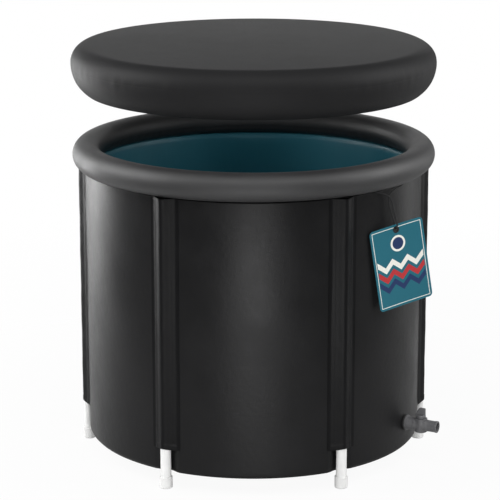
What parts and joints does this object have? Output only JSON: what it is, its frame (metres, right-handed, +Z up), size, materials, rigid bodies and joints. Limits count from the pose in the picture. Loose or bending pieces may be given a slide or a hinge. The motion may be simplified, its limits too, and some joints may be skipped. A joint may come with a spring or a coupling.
{
  "type": "cold plunge tub",
  "caption": "Round free-standing plunge tub: padded fabric wall, inflatable rim, pipe legs in sleeves, drain plug valve, lift-off inflatable lid and hang tag.",
  "frame": {"origin": "on the tub's axis at floor level, under the feet", "axes": "+Z up along the tub's axis, -Y towards the viewer of the picture, +X to the viewer's right"},
  "size_m": [0.8694, 0.8614, 0.9855],
  "materials": {
    "black_coated_fabric": "satin",
    "inflated_skin": "satin",
    "tie_fabric": "matte",
    "teal_liner": "satin",
    "insulating_foam": "matte",
    "white_pipe": "satin",
    "white_foot": "satin",
    "charcoal_plastic": "satin",
    "black_rubber": "matte",
    "printed_card": "satin",
    "black_eyelet": "gloss",
    "black_cord": "matte"
  },
  "bodies": {
    "tub": {"wall_skin": "black_coated_fabric", "wall_foam": "insulating_foam", "wall_liner": "teal_liner", "floor_foam": "insulating_foam", "base_panel": "black_coated_fabric", "inflatable_ring": "inflated_skin", "ring_air_valve": "charcoal_plastic", "drain_locknut": "charcoal_plastic", "drain_inner_washer": "black_rubber", "drain_outer_washer": "black_rubber", "drain_tailpiece": "charcoal_plastic", "valve_body": "charcoal_plastic", "leg_sleeve_1": "black_coated_fabric", "leg_pipe_1": "white_pipe", "leg_foot_1": "white_foot", "leg_sleeve_2": "black_coated_fabric", "leg_pipe_2": "white_pipe", "leg_foot_2": "white_foot", "leg_sleeve_3": "black_coated_fabric", "leg_pipe_3": "white_pipe", "leg_foot_3": "white_foot", "leg_sleeve_4": "black_coated_fabric", "leg_pipe_4": "white_pipe", "leg_foot_4": "white_foot", "leg_sleeve_5": "black_coated_fabric", "leg_pipe_5": "white_pipe", "leg_foot_5": "white_foot", "leg_sleeve_6": "black_coated_fabric", "leg_pipe_6": "white_pipe", "leg_foot_6": "white_foot"},
    "lid": {"lid_top_skin": "inflated_skin", "lid_bottom_skin": "inflated_skin", "lid_inner_web": "tie_fabric", "lid_outer_web": "tie_fabric", "lid_air_valve": "charcoal_plastic"},
    "drain_plug": {"valve_plug": "charcoal_plastic", "plug_seal_ring": "black_rubber", "plug_clip": "black_rubber", "valve_handle": "charcoal_plastic"},
    "ring_cap": {"ring_air_cap": "charcoal_plastic"},
    "lid_cap": {"lid_air_cap": "charcoal_plastic"},
    "tag": {"tag_card": "printed_card", "tag_eyelet": "black_eyelet", "tag_cord": "black_cord"}
  },
  "joints": [
    {"name": "lid_lift", "type": "slide", "parent": "tub", "child": "lid", "axis": [0, 0, 1], "range_m": [-0.1167, 0.25]},
    {"name": "drain_turn", "type": "hinge", "parent": "tub", "child": "drain_plug", "pos_m": [0.39547, -0.19288, 0.098], "axis": [0, 0, 1], "range_deg": [0, 90]},
    {"name": "ring_cap_pull", "type": "slide", "parent": "tub", "child": "ring_cap", "axis": [0, 0.7071, -0.7071], "range_m": [0, 0.02]},
    {"name": "lid_cap_pull", "type": "slide", "parent": "lid", "child": "lid_cap", "axis": [0, 0, -1], "range_m": [0, 0.02]},
    {"name": "tag_swing", "type": "hinge", "parent": "tub", "child": "tag", "pos_m": [0.30688, -0.2575, 0.6846], "axis": [-0.6428, -0.766, 0], "range_deg": [0, 40]}
  ]
}
